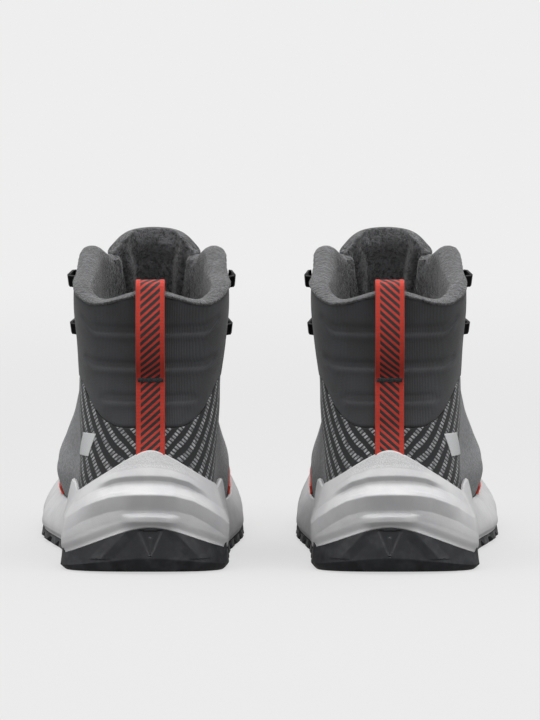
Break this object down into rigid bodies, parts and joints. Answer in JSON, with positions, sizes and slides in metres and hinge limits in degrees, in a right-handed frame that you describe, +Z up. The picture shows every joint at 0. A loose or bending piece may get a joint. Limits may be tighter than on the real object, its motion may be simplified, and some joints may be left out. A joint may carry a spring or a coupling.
{
  "type": "hiking boots",
  "caption": "Mid-height hiking boots with knitted uppers, padded collars, heel pull loops, sculpted foam midsoles and dark rubber outsoles.",
  "frame": {"origin": "on the ground, at the middle of the pair's bounding box", "axes": "+Y towards the toes, +X towards the right boot's outer side, +Z up"},
  "size_m": [0.257, 0.298, 0.1774],
  "materials": {
    "rubber": "matte black rubber",
    "foam": "matte light grey foam",
    "plate": "satin moulded plate",
    "board": "matte fibre board",
    "footbed": "knitted top cloth on foam",
    "knit": "grey heather knit with light stripes at the heel",
    "toe_cap": "matte black rubber",
    "accent": "matte orange-red film",
    "stiffener": "matte sheet",
    "collar": "padded dark grey mesh",
    "lining": "dark brushed fleece",
    "tongue": "padded dark brushed fleece",
    "overlay": "matte black film",
    "strap": "orange-red woven webbing with black diagonal bars",
    "webbing": "black webbing",
    "hook": "satin black paint"
  },
  "bodies": {
    "left_boot": {"left_outsole": "rubber", "left_midsole": "foam", "left_rocker_plate": "plate", "left_lasting_board": "board", "left_vamp": "knit", "left_quarter_lateral": "knit", "left_quarter_medial": "knit", "left_toe_cap": "toe_cap", "left_forefoot_band": "accent", "left_heel_counter": "stiffener", "left_toe_puff": "stiffener", "left_ankle_collar": "collar", "left_lining": "lining", "left_tongue_gusset": "lining", "left_eyestay_lateral": "overlay", "left_eyestay_medial": "overlay", "left_heel_strap": "strap", "left_lace_loop_lateral_1": "webbing", "left_lace_loop_lateral_2": "webbing", "left_lace_loop_lateral_3": "webbing", "left_lace_hook_lateral_1": "hook", "left_lace_hook_lateral_2": "hook", "left_lace_loop_medial_1": "webbing", "left_lace_loop_medial_2": "webbing", "left_lace_loop_medial_3": "webbing", "left_lace_hook_medial_1": "hook", "left_lace_hook_medial_2": "hook"},
    "left_tongue": {"left_tongue": "tongue"},
    "left_footbed": {"left_footbed": "footbed"},
    "right_boot": {"right_outsole": "rubber", "right_midsole": "foam", "right_rocker_plate": "plate", "right_lasting_board": "board", "right_vamp": "knit", "right_quarter_lateral": "knit", "right_quarter_medial": "knit", "right_toe_cap": "toe_cap", "right_forefoot_band": "accent", "right_heel_counter": "stiffener", "right_toe_puff": "stiffener", "right_ankle_collar": "collar", "right_lining": "lining", "right_tongue_gusset": "lining", "right_eyestay_lateral": "overlay", "right_eyestay_medial": "overlay", "right_heel_strap": "strap", "right_lace_loop_lateral_1": "webbing", "right_lace_loop_lateral_2": "webbing", "right_lace_loop_lateral_3": "webbing", "right_lace_hook_lateral_1": "hook", "right_lace_hook_lateral_2": "hook", "right_lace_loop_medial_1": "webbing", "right_lace_loop_medial_2": "webbing", "right_lace_loop_medial_3": "webbing", "right_lace_hook_medial_1": "hook", "right_lace_hook_medial_2": "hook"},
    "right_tongue": {"right_tongue": "tongue"},
    "right_footbed": {"right_footbed": "footbed"}
  },
  "joints": [
    {"name": "right_boot_lift", "type": "slide", "parent": "left_boot", "child": "right_boot", "axis": [0, 0, 1], "range_m": [0, 0.3]},
    {"name": "left_tongue_tilt", "type": "hinge", "parent": "left_boot", "child": "left_tongue", "pos_m": [-0.059, 0.0607, 0.072], "axis": [-1, 0, 0], "range_deg": [0, 9]},
    {"name": "left_footbed_lift", "type": "hinge", "parent": "left_boot", "child": "left_footbed", "pos_m": [-0.059, 0.131, 0.0354], "axis": [-1, 0, 0], "range_deg": [0, 8]},
    {"name": "right_tongue_tilt", "type": "hinge", "parent": "right_boot", "child": "right_tongue", "pos_m": [0.059, 0.0607, 0.072], "axis": [-1, 0, 0], "range_deg": [0, 9]},
    {"name": "right_footbed_lift", "type": "hinge", "parent": "right_boot", "child": "right_footbed", "pos_m": [0.059, 0.131, 0.0354], "axis": [-1, 0, 0], "range_deg": [0, 8]}
  ]
}
